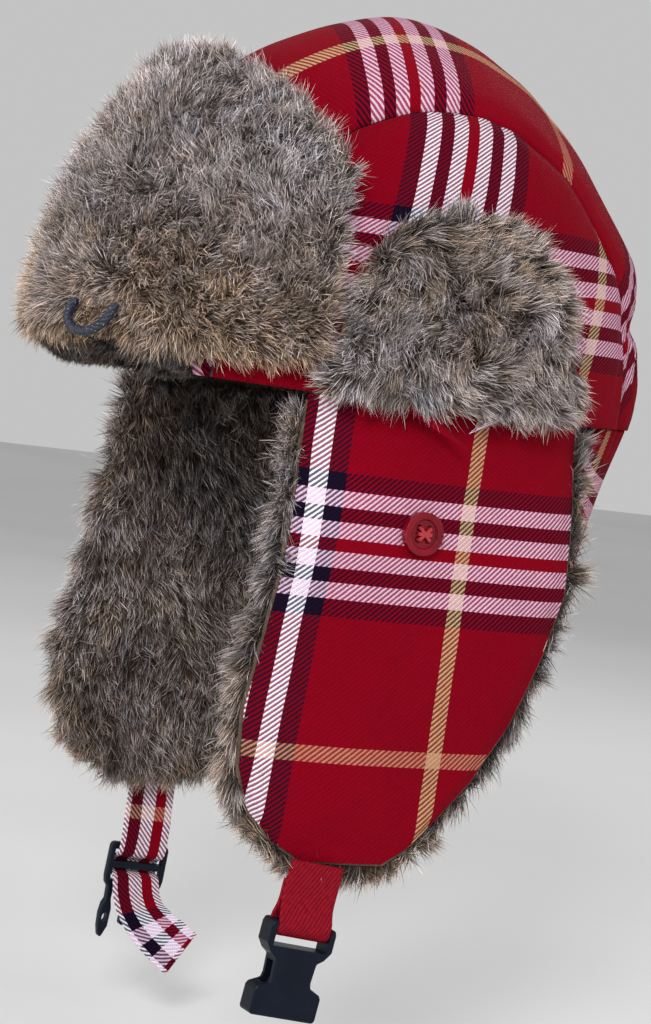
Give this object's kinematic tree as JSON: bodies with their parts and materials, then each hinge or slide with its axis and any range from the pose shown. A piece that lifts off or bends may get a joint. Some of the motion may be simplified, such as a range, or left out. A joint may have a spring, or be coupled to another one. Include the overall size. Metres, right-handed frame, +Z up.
{
  "type": "trapper hat",
  "caption": "Plaid trapper hat with a folded-up fur brim, fur ear covers, hanging fur-lined ear flaps, a neck flap and buckled chin straps.",
  "frame": {"origin": "centre of the head opening, at the height of the ear line where the crown's lower edge sits on the head", "axes": "+Z up through the crown, -Y the way the wearer faces, +X the wearer's left"},
  "size_m": [0.2076, 0.2394, 0.3807],
  "materials": {
    "plaid_twill": "red plaid brushed twill",
    "lining_satin": "navy satin lining",
    "elastic_band": "woven elastic",
    "brim_fur": "long-pile faux fur, brown with grey tips",
    "lining_fur": "long-pile faux fur, dark with grey tips",
    "navy_cord": "braided cord",
    "red_button": "glossy four-hole button",
    "red_thread": "sewing thread",
    "red_webbing": "twill webbing",
    "black_buckle": "moulded plastic, light satin"
  },
  "bodies": {
    "crown": {"crown_top_gore": "plaid_twill", "crown_side_left": "plaid_twill", "crown_side_right": "plaid_twill", "crown_lining": "lining_satin", "nape_elastic": "elastic_band", "neck_flap_shell": "plaid_twill", "neck_flap_fur": "lining_fur"},
    "front_brim": {"front_brim_shell": "plaid_twill", "front_brim_fur": "brim_fur", "brim_loop": "navy_cord"},
    "ear_flap_left": {"ear_flap_shell_left": "plaid_twill", "ear_flap_fur_left": "lining_fur", "ear_button_left": "red_button", "button_thread_left": "red_thread"},
    "ear_flap_right": {"ear_flap_shell_right": "plaid_twill", "ear_flap_fur_right": "lining_fur", "ear_button_right": "red_button", "button_thread_right": "red_thread"},
    "ear_cover_left": {"ear_cover_shell_left": "plaid_twill", "ear_cover_fur_left": "brim_fur"},
    "ear_cover_right": {"ear_cover_shell_right": "plaid_twill", "ear_cover_fur_right": "brim_fur"},
    "strap_left": {"chin_strap_left": "red_webbing"},
    "strap_right": {"chin_strap_right": "plaid_twill"},
    "buckle_socket_half": {"buckle_socket": "black_buckle"},
    "buckle_plug_half": {"buckle_plug": "black_buckle"}
  },
  "joints": [
    {"name": "front_brim_fold", "type": "hinge", "parent": "crown", "child": "front_brim", "pos_m": [0, -0.115, 0.003], "axis": [1, 0, 0], "range_deg": [0, 120]},
    {"name": "ear_flap_left_lift", "type": "hinge", "parent": "crown", "child": "ear_flap_left", "pos_m": [0.0915, -0.002, 0], "axis": [0, -1, 0], "range_deg": [0, 110]},
    {"name": "ear_flap_right_lift", "type": "hinge", "parent": "crown", "child": "ear_flap_right", "pos_m": [-0.0915, -0.002, 0], "axis": [0, 1, 0], "range_deg": [0, 110]},
    {"name": "ear_cover_left_fold", "type": "hinge", "parent": "crown", "child": "ear_cover_left", "pos_m": [0.098, -0.007, 0.004], "axis": [0, -1, 0], "range_deg": [-150, 0]},
    {"name": "ear_cover_right_fold", "type": "hinge", "parent": "crown", "child": "ear_cover_right", "pos_m": [-0.098, -0.007, 0.004], "axis": [0, 1, 0], "range_deg": [-150, 0]},
    {"name": "strap_left_swing", "type": "hinge", "parent": "ear_flap_left", "child": "strap_left", "pos_m": [0.087, -0.034, -0.1605], "axis": [0, -0.9903, 0.1392], "range_deg": [-40, 60]},
    {"name": "buckle_socket_pivot", "type": "hinge", "parent": "strap_left", "child": "buckle_socket_half", "pos_m": [0.087, -0.03671, -0.17981], "axis": [0, -0.9903, 0.1392], "range_deg": [-45, 60]},
    {"name": "strap_right_swing", "type": "hinge", "parent": "ear_flap_right", "child": "strap_right", "pos_m": [-0.087, -0.017, -0.1605], "axis": [0, 0.9976, -0.0698], "range_deg": [-40, 60]},
    {"name": "buckle_plug_pivot", "type": "hinge", "parent": "strap_right", "child": "buckle_plug_half", "pos_m": [-0.087, -0.01976, -0.1999], "axis": [0, 0.9976, -0.0698], "range_deg": [-5, 5]}
  ]
}
